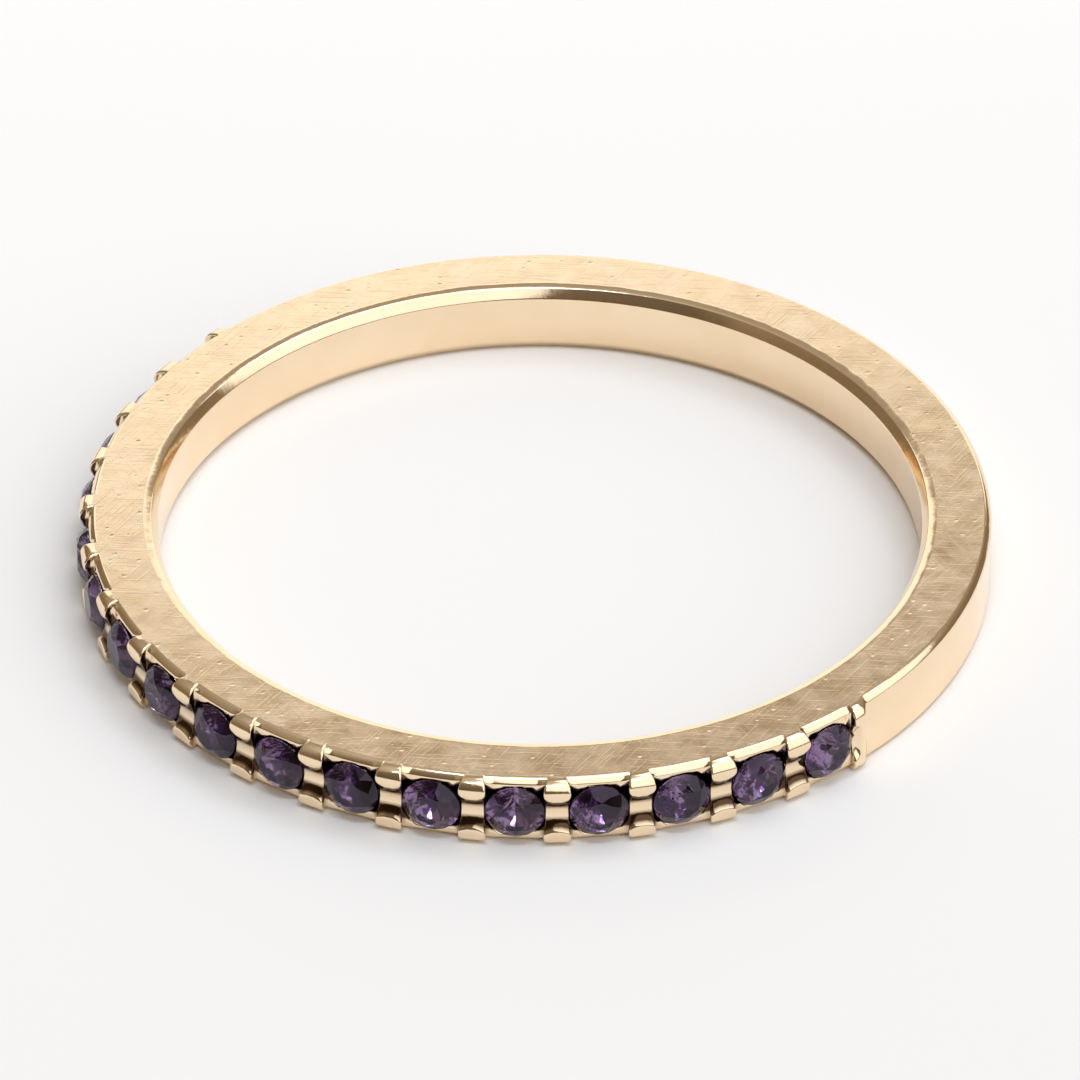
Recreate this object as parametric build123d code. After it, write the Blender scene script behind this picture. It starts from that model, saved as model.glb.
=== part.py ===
from build123d import *
import math
import os

# A narrow stacking ring that lies on one side face: a square-edged band whose outer wall carries a
# row of small round stones over half of its circumference. The ring's axis is +Z, the origin is on
# that axis in the plane that the ring lies on, and the middle of the stone row points to -Y.
# All lengths are in millimetres.

# Band
BORE_RADIUS = 8.65          # finger hole
BAND_HEIGHT = 1.70          # from side face to side face
OUTER_RADIUS = 10.22        # plain shank
FLAT_EDGE_RADIUS = 10.06    # where the flat side face ends
OUTER_SHOULDER_DROP = 0.15
INNER_SHOULDER = ((8.65, 0.26), (8.80, 0.035), (8.98, 0))   # radius and drop of its points

# Stones: round brilliants
STONE_COUNT = 17
STONE_PITCH = 10.47         # degrees along the row
STONE_RADIUS = 0.66
TABLE_RADIUS = 0.37
CROWN_HEIGHT = 0.22
GIRDLE_THICKNESS = 0.05
PAVILION_DEPTH = 0.55
GIRDLE_RADIUS = 10.25       # from the ring's axis to the middle of the girdle
STONE_TURN = 17.0           # degrees from one stone to the next about its own axis
STONE_CLEARANCE = 0.02
GIRDLE_SIDES = 32
STAR_RADIUS = 0.50          # outer tips of the star facets
LOWER_TIP_RADIUS = 0.17     # inner tips of the lower girdle facets
HALF_FACET = 22.5           # degrees, half of one of the eight main facets

# Setting
RAIL_RADIUS = 10.45         # tops of the prongs
RAIL_FLAT_EDGE_RADIUS = 10.14
RAIL_SHOULDER = ((10.24, 0.012), (10.33, 0.055), (10.385, 0.11), (10.425, 0.175))   # its middle points
RAIL_SHOULDER_DROP = 0.24
NOTCH_WIDTH = 1.24          # opening for each stone, along the row
NOTCH_ROOT_RADIUS = 9.90    # below the shank's own surface, which is the floor of the opening
SADDLE_RADIUS = 10.25       # bottom of the round hollow between the two prongs of a pair
SADDLE_HALF_WIDTH = 0.41    # at the tops of the prongs
SADDLE_REACH = 0.38         # half of its cutter, from the middle of a gap along the row
SADDLE_END = 0.13           # the last half saddle stops this far before the middle of its gap
ROW_END = 1.06              # from the last stone's centre to the end of the rail

STONES_EACH_SIDE = (STONE_COUNT - 1) // 2
MID_HEIGHT = BAND_HEIGHT / 2
TABLE_HEIGHT = GIRDLE_THICKNESS / 2 + CROWN_HEIGHT
CULET_HEIGHT = -GIRDLE_THICKNESS / 2 - PAVILION_DEPTH
LAST_STONE_ANGLE = STONES_EACH_SIDE * STONE_PITCH
RAIL_HALF_ANGLE = LAST_STONE_ANGLE + math.degrees(ROW_END / GIRDLE_RADIUS)
ROW_MIDDLE = -90.0          # direction of the middle of the row
BEYOND = 1.0                # how far a cutter runs past what it cuts


def shank():
    """The whole band, with a shoulder along each of its four corners."""
    lower = [*INNER_SHOULDER, (FLAT_EDGE_RADIUS, 0), (OUTER_RADIUS, OUTER_SHOULDER_DROP)]
    upper = [(radius, BAND_HEIGHT - drop) for radius, drop in reversed(lower)]
    return revolve(make_face(Plane.XZ * Polyline(*lower, *upper, close=True)), Axis.Z)


def rail():
    """The row of prong pairs, one raised rail cut through at every stone, inside the shank's own
    metal on its inner side."""
    top = BAND_HEIGHT
    root = (BORE_RADIUS + FLAT_EDGE_RADIUS) / 2
    rounding = [(RAIL_FLAT_EDGE_RADIUS, 0), *RAIL_SHOULDER, (RAIL_RADIUS, RAIL_SHOULDER_DROP)]
    upper = [(radius, top - drop) for radius, drop in reversed(rounding)]
    profile = make_face(Plane.XZ * Polyline((root, 0), *rounding, *upper, (root, top), close=True))
    start = ROW_MIDDLE - RAIL_HALF_ANGLE
    raised = Rot(0, 0, start) * revolve(profile, Axis.Z, 2 * RAIL_HALF_ANGLE)
    notch = notch_cutter()
    return raised - [at_row_angle(angle) * notch for angle in stone_angles()]


def at_row_angle(angle):
    """Location whose X axis points outwards at this angle from the middle of the row."""
    return Rot(0, 0, ROW_MIDDLE + angle)


def notch_cutter():
    """Opening for one stone, cut through the rail from side face to side face."""
    depth = RAIL_RADIUS + BEYOND - NOTCH_ROOT_RADIUS
    middle = Pos(NOTCH_ROOT_RADIUS + depth / 2, 0, MID_HEIGHT)
    return middle * Box(depth, NOTCH_WIDTH, BAND_HEIGHT + 2 * BEYOND)


def saddle_cutter(start, end):
    """Round hollow between the two prongs of a pair, from start to end along the row.

    Lengths along the row are counted from the middle of the gap between two stones."""
    depth = RAIL_RADIUS - SADDLE_RADIUS
    radius = (SADDLE_HALF_WIDTH ** 2 + depth ** 2) / (2 * depth)
    middle = Pos(SADDLE_RADIUS + radius, (start + end) / 2, MID_HEIGHT)
    return middle * Rot(90, 0, 0) * Cylinder(radius, end - start)


def seat_cutter():
    """Room for one stone: its own outline with a small clearance, open outwards."""
    wide = STONE_RADIUS + STONE_CLEARANCE
    girdle_floor = -GIRDLE_THICKNESS / 2 - STONE_CLEARANCE
    culet = girdle_floor - PAVILION_DEPTH * wide / STONE_RADIUS
    points = [(0, culet), (wide, girdle_floor), (wide, BEYOND), (0, BEYOND)]
    profile = make_face(Plane.XZ * Polyline(*points, close=True))
    return stone_place() * revolve(profile, Axis.Z)


def stone_place():
    """Puts a stone that stands on its culet along +Z into the row, table outwards along +X."""
    return Pos(GIRDLE_RADIUS, 0, MID_HEIGHT) * Rot(0, 90, 0)


def stone_angles():
    return [STONE_PITCH * (i - STONES_EACH_SIDE) for i in range(STONE_COUNT)]


def gap_angles():
    return [STONE_PITCH * (i - STONES_EACH_SIDE + 0.5) for i in range(STONE_COUNT - 1)]


def band():
    body = shank() + rail()
    seat = seat_cutter()
    saddle = saddle_cutter(-SADDLE_REACH, SADDLE_REACH)
    end_angle = LAST_STONE_ANGLE + STONE_PITCH / 2
    cutters = [at_row_angle(angle) * seat for angle in stone_angles()]
    cutters += [at_row_angle(angle) * saddle for angle in gap_angles()]
    cutters.append(at_row_angle(-end_angle) * saddle_cutter(SADDLE_END, SADDLE_REACH))
    cutters.append(at_row_angle(end_angle) * saddle_cutter(-SADDLE_REACH, -SADDLE_END))
    return body - cutters


def polar(radius, angle, height):
    return Vector(
        radius * math.cos(math.radians(angle)),
        radius * math.sin(math.radians(angle)),
        height,
    )


def cut_facet(stone, first, second, third):
    """Cuts the stone along the plane through three points and keeps the side of its centre."""
    normal = (second - first).cross(third - first).normalized()
    if normal.dot(first) < 0:
        normal = -normal
    return split(stone, Plane(origin=first, z_dir=normal), keep=Keep.BOTTOM)


def crown_point(radius, turn, angle):
    """Point of the bezel facet that leans at angle - turn, seen at this radius and angle."""
    slope = CROWN_HEIGHT / (STONE_RADIUS - TABLE_RADIUS)
    reach = radius * math.cos(math.radians(turn))
    return polar(radius, angle, TABLE_HEIGHT - slope * (reach - TABLE_RADIUS))


def pavilion_point(radius, turn, angle):
    """The same for the main facet below the girdle."""
    slope = PAVILION_DEPTH / STONE_RADIUS
    reach = radius * math.cos(math.radians(turn))
    return polar(radius, angle, CULET_HEIGHT + slope * reach)


def stone():
    """Round brilliant: table, 8 bezels, 8 stars, 16 upper girdle facets, 16 lower ones and 8 mains."""
    gem = Pos(0, 0, CULET_HEIGHT) * extrude(
        RegularPolygon(STONE_RADIUS, GIRDLE_SIDES), TABLE_HEIGHT - CULET_HEIGHT
    )
    girdle_top = GIRDLE_THICKNESS / 2
    for middle in range(0, 360, 45):
        bezel_side = polar(TABLE_RADIUS, middle, TABLE_HEIGHT)
        across = polar(1, middle + 90, 0)
        gem = cut_facet(gem, bezel_side, bezel_side + across, polar(STONE_RADIUS, middle, girdle_top))
        culet = Vector(0, 0, CULET_HEIGHT)
        gem = cut_facet(gem, culet, culet + across, polar(STONE_RADIUS, middle, -girdle_top))

        between = middle + HALF_FACET
        star_tip = crown_point(STAR_RADIUS, HALF_FACET, between)
        next_corner = polar(TABLE_RADIUS, middle + 2 * HALF_FACET, TABLE_HEIGHT)
        gem = cut_facet(gem, bezel_side, next_corner, star_tip)

        low_tip = pavilion_point(LOWER_TIP_RADIUS, HALF_FACET, between)
        for side in (middle, middle + 2 * HALF_FACET):
            for tip, height in ((star_tip, girdle_top), (low_tip, -girdle_top)):
                gem = cut_facet(
                    gem, tip, polar(STONE_RADIUS, between, height), polar(STONE_RADIUS, side, height)
                )
    return gem


def stones():
    gem = stone()
    return [
        at_row_angle(angle) * stone_place() * Rot(0, 0, STONE_TURN * index) * gem
        for index, angle in enumerate(stone_angles())
    ]


def write(solid, node):
    export_step(solid, os.path.join("parts", node + ".step"))


os.makedirs("parts", exist_ok=True)
write(band(), "band")
for number, gem in enumerate(stones(), start=1):
    write(gem, f"stone_{number:02d}")
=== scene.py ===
import math
from contextlib import contextmanager

import bmesh
import bpy
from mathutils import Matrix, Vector


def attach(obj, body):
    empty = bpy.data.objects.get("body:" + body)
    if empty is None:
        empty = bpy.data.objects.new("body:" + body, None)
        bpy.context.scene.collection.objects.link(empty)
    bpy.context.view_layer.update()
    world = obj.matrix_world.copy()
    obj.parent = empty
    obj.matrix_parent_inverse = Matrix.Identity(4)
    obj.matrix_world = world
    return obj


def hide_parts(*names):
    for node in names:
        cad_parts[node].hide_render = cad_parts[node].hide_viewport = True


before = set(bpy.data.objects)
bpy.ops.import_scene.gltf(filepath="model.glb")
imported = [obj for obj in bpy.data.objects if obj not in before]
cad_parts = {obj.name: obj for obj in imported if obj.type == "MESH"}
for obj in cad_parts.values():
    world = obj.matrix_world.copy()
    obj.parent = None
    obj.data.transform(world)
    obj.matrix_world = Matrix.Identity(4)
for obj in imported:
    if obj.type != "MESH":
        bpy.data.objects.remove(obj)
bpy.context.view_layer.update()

MM = 0.001
NEAR = 1e-7                        # lengths closer than this are the same
JOIN = 2e-6                        # points closer than this are joined into one

HEIGHT = 1.70 * MM                 # from side face to side face
MIDDLE = HEIGHT / 2
BEND_RADIUS = 10.25 * MM           # radius of the stones' girdles; lengths on it stay true in the bend
BORE_RADIUS = 8.65                 # radii without * MM are in mm
SHANK_RADIUS = 10.22
RAIL_RADIUS = 10.45
# Points (radius, height) in mm of the rounded edges at the upper side face; the lower ones mirror them.
BORE_EDGE = ((8.65, 1.44), (8.80, 1.665), (8.98, 1.70))
SHANK_EDGE = (
    (10.06, 1.70), (10.09, 1.692), (10.115, 1.678), (10.198, 1.60), (10.213, 1.576), (10.22, 1.55),
)
RAIL_EDGE = (
    (10.14, 1.70), (10.24, 1.688), (10.33, 1.645), (10.385, 1.59), (10.425, 1.525), (10.45, 1.46),
)

STONES = 17
PITCH = math.radians(10.47) * BEND_RADIUS
NOTCH_HALF = 0.685 * MM
NOTCH_MOUTH = 0.62                 # its half width at the tops of the prongs, in mm
SADDLE_RADIUS = 10.25              # bottom of the hollow between the two prongs of a pair
SADDLE_STEPS = ((0.10, 0.41), (0.22, 0.46), (0.40, 0.60))  # (distance from its middle, half width)
STONE_RADIUS = 0.66 * MM
GIRDLE_HALF = 0.025 * MM
PAVILION = 0.55 * MM
CLEAR = 0.02 * MM
FOIL_EDGE = 0.012 * MM             # the foil ends this far inside the middle of the girdle
SADDLE_END = 0.80 * MM             # where the last half hollow and the rail end, both from the
RAIL_END = 1.06 * MM               # last stone's middle
RAIL_SLOPE = 0.10 * MM             # half the length over which the rail runs down to the shank

EDGE_FINE = 0.03 * MM              # how far each kind of edge is rounded over
EDGE_PRONG = 0.05 * MM
SHARP = math.radians(25)
SLICES = 8                         # across one pitch, for the bend
SHANK_SLICES = 100

# Colours
FRESH_GOLD = (0.96, 0.77, 0.54)
WARM_GOLD = (0.93, 0.73, 0.49)
RUBBED_GOLD = (0.96, 0.78, 0.56)
DULL_GOLD = (0.87, 0.68, 0.45)
# Painted shade, blended into the gold in the corners of the hollows between prongs
PAINTED_RECESS_SHADE = (0.10, 0.055, 0.03)
VIOLET = (0.17, 0.12, 0.21, 1)
BRIGHT_FOIL = (1.0, 0.88, 0.96)
DARK_FOIL = (0.17, 0.10, 0.20)
PALE_FLOOR = (0.91, 0.897, 0.88, 1)
HORIZON = (0.22, 0.165, 0.11)
DIM_FRONT = (0.07, 0.05, 0.03)
WINDOW = (1.30, 1.31, 1.32)


def depth(radius):
    """Place across the bar, along y, of a radius given in mm."""
    return BEND_RADIUS - radius * MM


def select_only(piece):
    bpy.ops.object.select_all(action="DESELECT")
    piece.select_set(True)
    bpy.context.view_layer.objects.active = piece


@contextmanager
def editing(piece, mode="EDGE", whole=False):
    select_only(piece)
    bpy.ops.object.mode_set(mode="EDIT")
    bpy.ops.mesh.select_mode(type=mode)
    bpy.ops.mesh.select_all(action="SELECT" if whole else "DESELECT")
    yield
    bpy.ops.object.mode_set(mode="OBJECT")


def pick(piece, kind, wanted):
    """Selects the edges or faces of the piece in edit mode that are wanted."""
    mesh = bmesh.from_edit_mesh(piece.data)
    for part in getattr(mesh, kind):
        part.select_set(bool(wanted(part)))
    mesh.select_flush_mode()
    bmesh.update_edit_mesh(piece.data)


def block(name, low, high):
    middle = [(a + b) / 2 for a, b in zip(low, high)]
    size = [b - a for a, b in zip(low, high)]
    bpy.ops.mesh.primitive_cube_add(size=1, location=middle, scale=size)
    piece = bpy.context.object
    piece.name = name
    bpy.ops.object.transform_apply(location=True, rotation=True, scale=True)
    return piece


def saw(piece, point, normal, clear=True, fill=True):
    """Saws through the whole piece and, if told to clear, takes away what lies in front of the plane."""
    with editing(piece, whole=True):
        bpy.ops.mesh.bisect(
            plane_co=point, plane_no=normal, use_fill=fill, clear_outer=clear, threshold=NEAR / 10
        )


def carve(piece, tool, operation="DIFFERENCE"):
    select_only(piece)
    step = piece.modifiers.new("carve", "BOOLEAN")
    step.operation, step.solver, step.object = operation, "EXACT", tool
    bpy.ops.object.modifier_apply(modifier=step.name)
    bpy.data.objects.remove(tool)


def shave(piece, first, second):
    """Shaves a shoulder along both side faces, through two points (radius, height) of the section."""
    out = Vector((second[1] - first[1], first[0] - second[0]))
    if out.y < 0:
        out = -out
    for side in (1, -1):
        height = MIDDLE + side * (first[1] * MM - MIDDLE)
        saw(piece, (0, depth(first[0]), height), (0, -out.x, side * out.y))


def bar(name, start, end, edge):
    piece = block(name, (start, depth(edge[-1][0]), 0), (end, depth(BORE_RADIUS), HEIGHT))
    for points in (BORE_EDGE, edge):
        for first, second in zip(points, points[1:]):
            shave(piece, first, second)
    return piece


def extrude_end(tool, axis, place, move, grow, centre):
    """Draws out the end face at this place along the axis and resizes it about the centre."""
    with editing(tool, "FACE"):
        pick(tool, "faces", lambda face: abs(face.calc_center_median()[axis] - place) < NEAR)
        shift = [0, 0, 0]
        shift[axis] = move
        bpy.ops.mesh.extrude_region_move(TRANSFORM_OT_translate={"value": shift})
        bpy.ops.transform.resize(value=grow, center_override=centre)


def notch_tool(place):
    """Cutter for one stone's opening: it leaves the plain shank's section between two pairs of prongs."""
    past_prongs, past_sides = 0.5, 0.2    # how far it reaches out of the bar, in mm
    far = depth(RAIL_RADIUS + past_prongs)
    floor, low = depth(SHANK_RADIUS), HEIGHT - SHANK_EDGE[-1][1] * MM
    tool = block("notch", (place - PITCH / 2, far, low), (place + PITCH / 2, floor, HEIGHT - low))
    points = list(SHANK_EDGE[::-1])
    points[-1] = tuple(2 * new - old for new, old in zip(points[-1], points[-2]))
    points.append((points[-1][0], points[-1][1] + past_sides))
    for old, new in zip(points, points[1:]):
        deeper = (depth(new[0]) - far) / (depth(old[0]) - far)
        for side in (-1, 1):
            at = MIDDLE + side * (old[1] * MM - MIDDLE)
            move = side * (new[1] - old[1]) * MM
            extrude_end(tool, 2, at, move, (1, deeper, 1), (place, far, at + move))
    mouth = NOTCH_MOUTH * MM
    for side in (-1, 1):
        lean = (side * (floor - depth(RAIL_RADIUS)), mouth - NOTCH_HALF, 0)
        saw(tool, (place + side * NOTCH_HALF, floor, 0), lean)
    return tool


def saddle_tool(place):
    """Cutter for the hollow between the two prongs of a pair, which leaves their ends round."""
    floor, deep = depth(SADDLE_RADIUS), (RAIL_RADIUS - SADDLE_RADIUS) * MM
    radii = [((half * MM) ** 2 + deep ** 2) / (2 * deep) for _, half in SADDLE_STEPS]
    reach = SADDLE_STEPS[0][0] * MM
    bpy.ops.mesh.primitive_cylinder_add(
        vertices=20, radius=radii[0], depth=2 * reach,
        location=(place, floor - radii[0], MIDDLE), rotation=(0, math.pi / 2, 0),
    )
    tool = bpy.context.object
    bpy.ops.object.transform_apply(location=True, rotation=True, scale=True)
    for (far, _), old, new in zip(SADDLE_STEPS[1:], radii, radii[1:]):
        grow = new / old
        for side in (-1, 1):
            move = side * (far * MM - reach)
            end = (place + side * far * MM, floor, MIDDLE)
            extrude_end(tool, 0, place + side * reach, move, (1, grow, grow), end)
        reach = far * MM
    return tool


def seat_tool(place):
    """Cutter for the cone that one stone's lower half sits in."""
    wide = STONE_RADIUS + CLEAR / 2
    outer, floor = depth(RAIL_RADIUS), GIRDLE_HALF + CLEAR / 2
    bpy.ops.mesh.primitive_cylinder_add(
        vertices=32, radius=wide, depth=floor - outer,
        location=(place, (outer + floor) / 2, MIDDLE), rotation=(math.pi / 2, 0, 0),
    )
    tool = bpy.context.object
    bpy.ops.object.transform_apply(location=True, rotation=True, scale=True)
    with editing(tool, "FACE"):
        pick(tool, "faces", lambda face: abs(face.calc_center_median().y - floor) < NEAR)
        bpy.ops.mesh.extrude_region_move(TRANSFORM_OT_translate={"value": (0, PAVILION + CLEAR, 0)})
        bpy.ops.mesh.merge(type="CENTER")
    return tool


def turn_of(edge):
    """How far two faces turn at their edge: positive where it stands out, negative in a corner."""
    return edge.calc_face_angle_signed(0) if len(edge.link_faces) == 2 else 0


def soften(piece):
    """Rounds every edge that stands out sharply over, but not those of the seats."""
    with editing(piece, whole=True):
        bpy.ops.mesh.dissolve_limited(angle_limit=math.radians(1))

    def width(edge):
        turn = turn_of(edge)
        way = edge.verts[1].co - edge.verts[0].co
        if turn < SHARP or turn < 2 * SHARP and abs(way.x) < 0.1 * way.length:
            return 0
        middle = (edge.verts[0].co + edge.verts[1].co) / 2
        if middle.y > depth(BORE_EDGE[-1][0]) - NEAR:
            return EDGE_FINE
        between_shoulders = abs(middle.z - MIDDLE) < SHANK_EDGE[-1][1] * MM - MIDDLE
        down_low = middle.y > depth(SHANK_RADIUS) - EDGE_PRONG - CLEAR
        return 0 if between_shoulders and down_low else EDGE_PRONG

    for size in (EDGE_FINE, EDGE_PRONG):
        with editing(piece):
            pick(piece, "edges", lambda edge: width(edge) == size)
            bpy.ops.transform.edge_bevelweight(value=size / EDGE_PRONG)
    step = piece.modifiers.new("soften", "BEVEL")
    step.limit_method = "WEIGHT"
    step.width, step.segments = EDGE_PRONG, 4
    step.use_clamp_overlap, step.loop_slide = False, False
    bpy.ops.object.modifier_apply(modifier=step.name)


def open_ends(piece, start, end):
    """Saws both ends off without closing them, so that the next length joins on."""
    saw(piece, (start, 0, 0), (-1, 0, 0), fill=False)
    saw(piece, (end, 0, 0), (1, 0, 0), fill=False)


def slice_up(piece, start, end, count):
    for i in range(1, count):
        saw(piece, (start + (end - start) * i / count, 0, 0), (1, 0, 0), clear=False, fill=False)


def setting():
    """One stone's length of the bar, from the middle of one gap to the middle of the next."""
    piece = bar("setting", -1.5 * PITCH, 1.5 * PITCH, RAIL_EDGE)
    for k in (-1, 0, 1):
        carve(piece, notch_tool(k * PITCH))
    for k in (-0.5, 0.5):
        carve(piece, saddle_tool(k * PITCH))
    carve(piece, seat_tool(0))
    soften(piece)
    open_ends(piece, -PITCH / 2, PITCH / 2)
    slice_up(piece, -PITCH / 2, PITCH / 2, SLICES)
    return piece


def raise_rail(piece, mirror, place):
    """Draws the outer wall out to the tops of the prongs, from one end of the bar up to this place."""
    way = -1 if mirror else 1
    for point in (place - way * RAIL_SLOPE, place + way * RAIL_SLOPE):
        saw(piece, (point, 0, 0), (1, 0, 0), clear=False, fill=False)
    for old, new in zip(SHANK_EDGE, RAIL_EDGE):
        line, level = depth(old[0]), old[1] * MM - MIDDLE
        with editing(piece, "VERT"):
            def on_line(vert):
                here = abs(vert.co.y - line) < NEAR and abs(abs(vert.co.z - MIDDLE) - level) < NEAR
                return here and way * (place - vert.co.x) > 0
            pick(piece, "verts", on_line)
            bpy.ops.transform.translate(value=(0, depth(new[0]) - line, 0))
            taller = (new[1] * MM - MIDDLE) / level
            bpy.ops.transform.resize(value=(1, 1, taller), center_override=(0, 0, MIDDLE))


def shank(row_half, full):
    """The plain length of the bar with both ends of the stone row on it."""
    last = row_half + PITCH / 2
    piece = bar("shank", row_half - PITCH, full - row_half + PITCH, SHANK_EDGE)
    for mirror in (False, True):
        def at(place):
            return full - place if mirror else place
        raise_rail(piece, mirror, at(last + RAIL_END))
        for place in (last - PITCH, last):
            carve(piece, notch_tool(at(place)))
        carve(piece, saddle_tool(at(row_half)))
        half_saddle = saddle_tool(at(last + PITCH / 2))
        saw(half_saddle, (at(last + SADDLE_END), 0, 0), (-1 if mirror else 1, 0, 0))
        carve(piece, half_saddle)
        carve(piece, seat_tool(at(last)))
    soften(piece)
    open_ends(piece, row_half, full - row_half)
    slice_up(piece, row_half, full - row_half, SHANK_SLICES)
    return piece


def bend_round(piece):
    """Bends the bar into a ring about the z axis and closes it."""
    select_only(piece)
    step = piece.modifiers.new("bend", "SIMPLE_DEFORM")
    step.deform_method, step.deform_axis, step.angle = "BEND", "Z", 2 * math.pi
    bpy.ops.object.modifier_apply(modifier=step.name)
    with editing(piece, "VERT", whole=True):
        bpy.ops.transform.translate(value=(0, -BEND_RADIUS, 0))
        bpy.ops.mesh.remove_doubles(threshold=JOIN)
        bpy.ops.mesh.normals_make_consistent(inside=False)


def make_band():
    full = 2 * math.pi * BEND_RADIUS
    row_half = (STONES / 2 - 1) * PITCH
    piece = shank(row_half, full)
    one = setting()
    parts = [piece, one]
    for k in range(-(STONES - 3) // 2, (STONES - 3) // 2 + 1):
        if k == 0:
            continue
        copy = one.copy()
        copy.data = one.data.copy()
        copy.location.x = k * PITCH
        bpy.context.collection.objects.link(copy)
        parts.append(copy)
    bpy.ops.object.select_all(action="DESELECT")
    for part in parts:
        part.select_set(True)
    bpy.context.view_layer.objects.active = piece
    bpy.ops.object.join()
    piece.name = "gold_band"
    with editing(piece, "VERT", whole=True):
        bpy.ops.mesh.remove_doubles(threshold=JOIN)
    bend_round(piece)
    return piece


def on_side_face(face):
    from_middle = abs(face.calc_center_median().z - MIDDLE)
    return abs(from_middle - MIDDLE) < NEAR and abs(face.normal.z) > 0.999


def even_normals(piece):
    """Lets the large faces set the shading, so that flats look flat and only the rounded edges turn."""
    select_only(piece)
    bpy.ops.object.shade_smooth()
    step = piece.modifiers.new("normals", "WEIGHTED_NORMAL")
    step.weight, step.keep_sharp = 50, False
    bpy.ops.object.modifier_apply(modifier=step.name)
    with editing(piece, "FACE"):
        pick(piece, "faces", on_side_face)
        bpy.ops.mesh.set_normals_from_faces(keep_sharp=False)


def node_maker(tree):
    def make(kind, **settings):
        node = tree.nodes.new("ShaderNode" + kind)
        for key, value in settings.items():
            setattr(node, key, value)
        return node
    return make


def new_material(name):
    material = bpy.data.materials.new(name)
    material.use_nodes = True
    tree = material.node_tree
    return material, tree, node_maker(tree), tree.nodes["Principled BSDF"]


def noise(tree, make, vector, scale, detail=3.0, roughness=0.5):
    node = make("TexNoise")
    node.inputs["Scale"].default_value = scale
    node.inputs["Detail"].default_value = detail
    node.inputs["Roughness"].default_value = roughness
    tree.links.new(vector, node.inputs["Vector"])
    return node.outputs["Fac"]


def spread(tree, make, value, low, high, start=0.0, end=1.0, kind="LINEAR"):
    node = make("MapRange", interpolation_type=kind)
    for name, number in zip(("From Min", "From Max", "To Min", "To Max"), (start, end, low, high)):
        node.inputs[name].default_value = number
    tree.links.new(value, node.inputs["Value"])
    return node.outputs["Result"]


def calculate(tree, make, operation, first, second=None):
    """One sum on values; each is a number or another node's output."""
    node = make("Math", operation=operation)
    for value, socket in zip((first, second), node.inputs):
        if isinstance(value, float):
            socket.default_value = value
        elif value:
            tree.links.new(value, socket)
    return node.outputs["Value"]


def distance_from_axis(tree, make, place):
    flat = make("VectorMath", operation="MULTIPLY")
    flat.inputs[1].default_value = (1, 1, 0)
    tree.links.new(place, flat.inputs[0])
    length = make("VectorMath", operation="LENGTH")
    tree.links.new(flat.outputs["Vector"], length.inputs[0])
    return length.outputs["Value"]


def split(tree, make, vector):
    parts = make("SeparateXYZ")
    tree.links.new(vector, parts.inputs["Vector"])
    return parts.outputs


def blend_colours(tree, make, amount, first, second):
    """The first colour, given way to the plain second one by the amount."""
    node = make("Mix", data_type="RGBA")
    tree.links.new(amount, node.inputs["Factor"])
    colours = [socket for socket in node.inputs if socket.type == "RGBA"]
    tree.links.new(first, colours[0])
    colours[1].default_value = (*second, 1)
    return [socket for socket in node.outputs if socket.type == "RGBA"][0]


def scratches(tree, make, vector, angle, scale):
    """Thin lines in one direction, about one in three of them showing."""
    turned = make("Mapping", vector_type="TEXTURE")
    turned.inputs["Rotation"].default_value = (0, 0, math.radians(angle))
    turned.inputs["Scale"].default_value = (1 / scale, 28 / scale, 3 / scale)
    tree.links.new(vector, turned.inputs["Vector"])
    lines = noise(tree, make, turned.outputs["Vector"], 1, 2)
    return spread(tree, make, lines, 0, 1, 0.56, 0.70)


def bump(tree, make, height, distance, below=None):
    node = make("Bump")
    node.inputs["Distance"].default_value = distance
    tree.links.new(height, node.inputs["Height"])
    if below:
        tree.links.new(below, node.inputs["Normal"])
    return node.outputs["Normal"]


def two_tone(tree, make, value, first, second):
    node = make("ValToRGB")
    ends = node.color_ramp.elements
    ends[0].position, ends[0].color = 0.35, (*first, 1)
    ends[1].position, ends[1].color = 0.65, (*second, 1)
    tree.links.new(value, node.inputs["Fac"])
    return node.outputs["Color"]


def painted_recess_shade(tree, make, place):
    """1 in the two corners of the hollow between a pair of prongs, where shade is painted into the gold as
    a near-black brown.
    """
    parts = split(tree, make, place)
    radius = distance_from_axis(tree, make, place)
    middle = calculate(tree, make, "SUBTRACT", parts["Z"], MIDDLE)
    away = calculate(tree, make, "ABSOLUTE", middle)
    bounds = (
        (radius, 10.43, 10.36), (radius, 10.0, 10.1), (away, 0.10, 0.20), (away, 0.56, 0.50),
        (parts["Y"], -0.60, -0.75),
    )
    result = None
    for value, start, end in bounds:
        part = spread(tree, make, value, 0, 1, start * MM, end * MM)
        result = calculate(tree, make, "MULTIPLY", result, part) if result else part
    return result


def polished_gold():
    """Bright plated gold that is a little wavy, as a cast and tumbled wall is, with painted shade in the
    corners of the hollows between prongs.
    """
    material, tree, make, shader = new_material("polished_gold")
    link = tree.links.new
    shader.inputs["Metallic"].default_value = 1
    place = make("TexCoord").outputs["Object"]
    patches = noise(tree, make, place, 700)
    gold = two_tone(tree, make, patches, FRESH_GOLD, WARM_GOLD)
    # Painted shade: the gold turns near-black brown in the corners of the hollows between prongs
    gold_and_painted_shade = blend_colours(tree, make, painted_recess_shade(tree, make, place), gold, PAINTED_RECESS_SHADE)
    link(gold_and_painted_shade, shader.inputs["Base Color"])
    fine = noise(tree, make, place, 9000, 2)
    link(spread(tree, make, fine, 0.07, 0.17), shader.inputs["Roughness"])
    wavy = bump(tree, make, noise(tree, make, place, 1300, 1), 0.000012)
    link(bump(tree, make, fine, 0.0000012, wavy), shader.inputs["Normal"])
    return material


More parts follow.
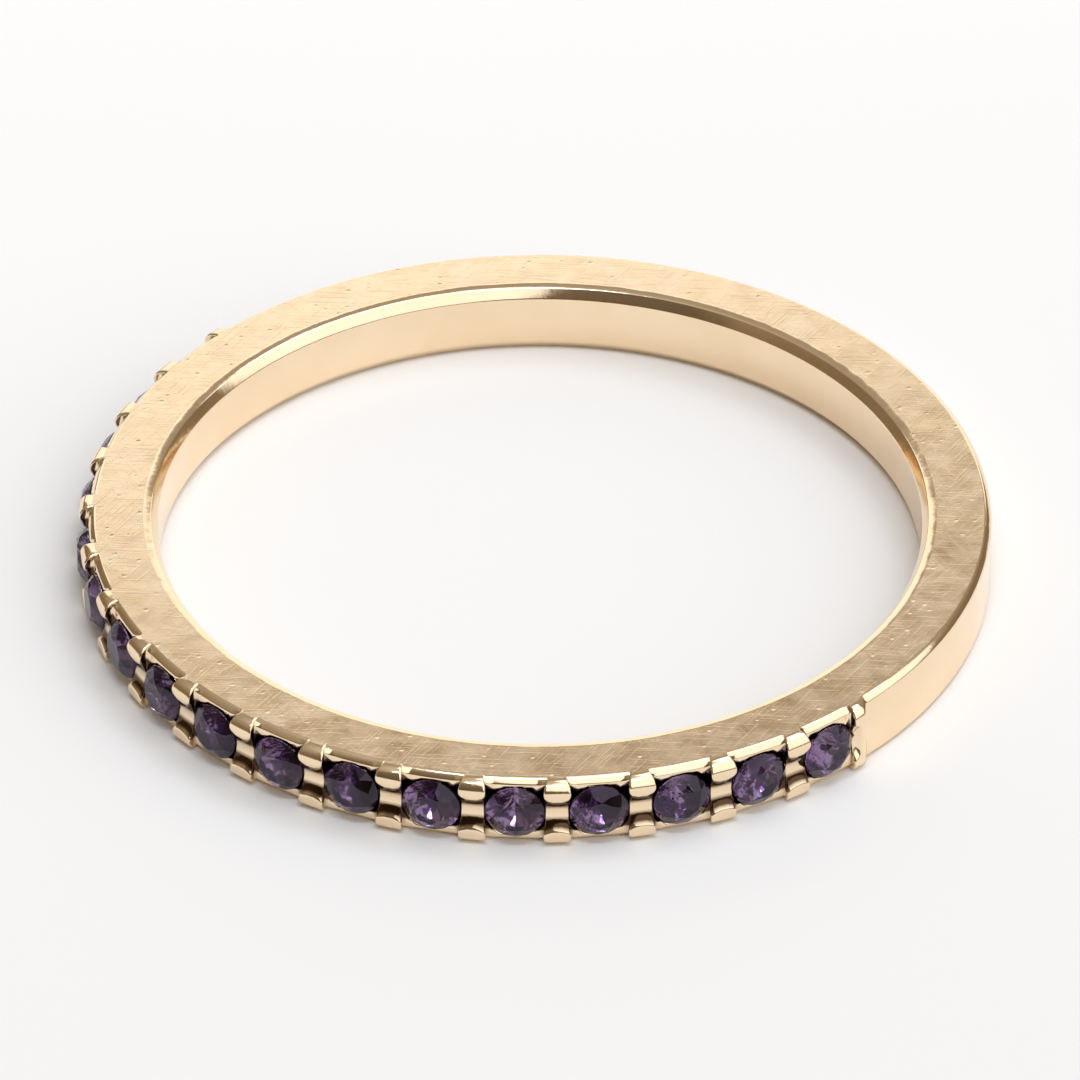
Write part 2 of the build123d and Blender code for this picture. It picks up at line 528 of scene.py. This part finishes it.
def satin_gold():
    """Side faces dulled by rubbing on each other: mottled, with fine scratches all ways and small dings."""
    material, tree, make, shader = new_material("satin_gold")
    link = tree.links.new
    shader.inputs["Metallic"].default_value = 1
    place = make("TexCoord").outputs["Object"]
    mottle = noise(tree, make, place, 1500, 4, 0.55)
    link(two_tone(tree, make, mottle, RUBBED_GOLD, DULL_GOLD), shader.inputs["Base Color"])
    link(spread(tree, make, mottle, 0.25, 0.17, 0.3, 0.7), shader.inputs["Roughness"])
    normal = bump(tree, make, noise(tree, make, place, 1100, 1), 0.000010)
    normal = bump(tree, make, mottle, 0.000003, normal)
    for angle, scale in ((12, 26000), (74, 31000), (131, 23000)):
        normal = bump(tree, make, scratches(tree, make, place, angle, scale), 0.0000009, normal)
    dings = make("TexVoronoi")
    dings.inputs["Scale"].default_value = 2600
    link(place, dings.inputs["Vector"])
    pits = spread(tree, make, dings.outputs["Distance"], 0, 1, 0.04, 0.16)
    link(bump(tree, make, pits, 0.000005, normal), shader.inputs["Normal"])
    return material


def violet_stone():
    """Clear violet glass with a foil behind the facets of its lower half."""
    material, tree, make, shader = new_material("violet_stone")
    link = tree.links.new
    shader.inputs["Base Color"].default_value = VIOLET
    shader.inputs["Specular Tint"].default_value = (0.90, 0.78, 1.0, 1)
    shader.inputs["Roughness"].default_value = 0
    shader.inputs["IOR"].default_value = 1.55
    shader.inputs["Transmission Weight"].default_value = 1
    foil = make("BsdfPrincipled")
    foil.inputs["Metallic"].default_value = 1
    foil.inputs["Roughness"].default_value = 0.06
    place = make("TexCoord").outputs["Object"]
    cloud = spread(tree, make, noise(tree, make, place, 2600, 2), 0, 1, 0.38, 0.62)
    link(two_tone(tree, make, cloud, BRIGHT_FOIL, DARK_FOIL), foil.inputs["Base Color"])
    radius = distance_from_axis(tree, make, place)
    below = calculate(tree, make, "LESS_THAN", radius, BEND_RADIUS - FOIL_EDGE)
    mix = make("MixShader")
    link(below, mix.inputs["Fac"])
    link(shader.outputs["BSDF"], mix.inputs[1])
    link(foil.outputs["BSDF"], mix.inputs[2])
    link(mix.outputs["Shader"], tree.nodes["Material Output"].inputs["Surface"])
    return material


def finish_band(piece):
    """Satin side faces, everything else polished."""
    piece.data.materials.append(polished_gold())
    piece.data.materials.append(satin_gold())
    with editing(piece, "FACE"):
        pick(piece, "faces", on_side_face)
        piece.active_material_index = 1
        bpy.ops.object.material_slot_assign()


def look_from(azimuth, elevation):
    turn, rise = math.radians(azimuth), math.radians(elevation)
    return Vector((math.sin(turn) * math.cos(rise), -math.cos(turn) * math.cos(rise), math.sin(rise)))


def aim(thing, way):
    thing.rotation_euler = way.to_track_quat("Z", "Y").to_euler()


def make_camera():
    back, distance = look_from(45, 36), 0.34
    data = bpy.data.cameras.new("camera")
    data.lens, data.sensor_width = 500, 36
    data.clip_start, data.clip_end = 0.01, 10
    camera = bpy.data.objects.new("camera", data)
    bpy.context.scene.collection.objects.link(camera)
    camera.location = Vector((0, 0, MIDDLE)) + back * distance
    aim(camera, back)
    bpy.context.scene.camera = camera


def soft_lamp(name, azimuth, elevation, distance, width, height, radiance, colour=(1, 1, 1)):
    data = bpy.data.lights.new(name, "AREA")
    data.shape, data.size, data.size_y = "RECTANGLE", width, height
    data.energy = radiance * math.pi * width * height
    data.color = colour
    lamp = bpy.data.objects.new(name, data)
    bpy.context.scene.collection.objects.link(lamp)
    way = look_from(azimuth, elevation)
    lamp.location = way * distance
    aim(lamp, way)
    return lamp


def near_way(tree, make, place, way, start, end, most=1.0):
    """Grows smoothly to the most as the place comes to lie this way."""
    node = make("VectorMath", operation="DOT_PRODUCT")
    node.inputs[1].default_value = way
    tree.links.new(place, node.inputs[0])
    return spread(tree, make, node.outputs["Value"], 0, most, start, end, "SMOOTHSTEP")


def make_room():
    """World light: dim towards the horizon and in front, paler overhead, and one large soft window to
    the right."""
    world = bpy.data.worlds.new("room")
    bpy.context.scene.world = world
    world.use_nodes = True
    tree = world.node_tree
    make = node_maker(tree)
    place = make("TexCoord").outputs["Generated"]
    height = split(tree, make, place)["Z"]
    rise = make("ValToRGB")
    stops = rise.color_ramp.elements
    stops[0].position, stops[0].color = 0.0, (*HORIZON, 1)
    stops[1].position, stops[1].color = 1.0, (0.62, 0.57, 0.50, 1)
    for where, shade in (
        (0.28, HORIZON), (0.46, (0.30, 0.24, 0.17)), (0.62, (0.34, 0.29, 0.23)), (0.80, (0.40, 0.36, 0.30)),
    ):
        stops.new(where).color = (*shade, 1)
    tree.links.new(height, rise.inputs["Fac"])
    front = near_way(tree, make, place, look_from(40, 22), 0.60, 0.82, 0.64)
    walls = blend_colours(tree, make, front, rise.outputs["Color"], DIM_FRONT)
    pane = near_way(tree, make, place, look_from(102, 45), 0.65, 0.71)
    above = spread(tree, make, height, 0, 1, 0.12, 0.22, "SMOOTHSTEP")
    light = blend_colours(tree, make, calculate(tree, make, "MULTIPLY", pane, above), walls, WINDOW)
    tree.links.new(light, tree.nodes["Background"].inputs["Color"])


def make_floor():
    bpy.ops.object.select_all(action="DESELECT")
    bpy.ops.mesh.primitive_plane_add(size=4, location=(0, 0, 0))
    floor = bpy.context.object
    floor.name = "floor"
    material, _, _, shader = new_material("pale_floor")
    shader.inputs["Base Color"].default_value = PALE_FLOOR
    shader.inputs["Roughness"].default_value = 0.8
    shader.inputs["Specular IOR Level"].default_value = 0.2
    floor.data.materials.append(material)


band = make_band()
even_normals(band)
finish_band(band)
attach(band, "root")
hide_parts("band")

stone_glass = violet_stone()
for name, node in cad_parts.items():
    if name.startswith("stone"):
        node.data.materials.clear()
        node.data.materials.append(stone_glass)

make_camera()
make_floor()
make_room()
back_sky = soft_lamp(
    "back_sky", azimuth=225, elevation=17.6, distance=0.09, width=0.12, height=0.06, radiance=1.0,
)
back_sky.rotation_euler.rotate_axis("Z", math.radians(17))
soft_lamp(
    "key", azimuth=190, elevation=62, distance=0.5, width=0.24, height=0.20, radiance=2.2,
    colour=(0.88, 0.99, 1.18),
)
soft_lamp(
    "front_strip", azimuth=42, elevation=72, distance=0.5, width=0.26, height=0.026, radiance=25,
    colour=(0.92, 0.99, 1.12),
)
bpy.context.scene.view_settings.view_transform = "Standard"
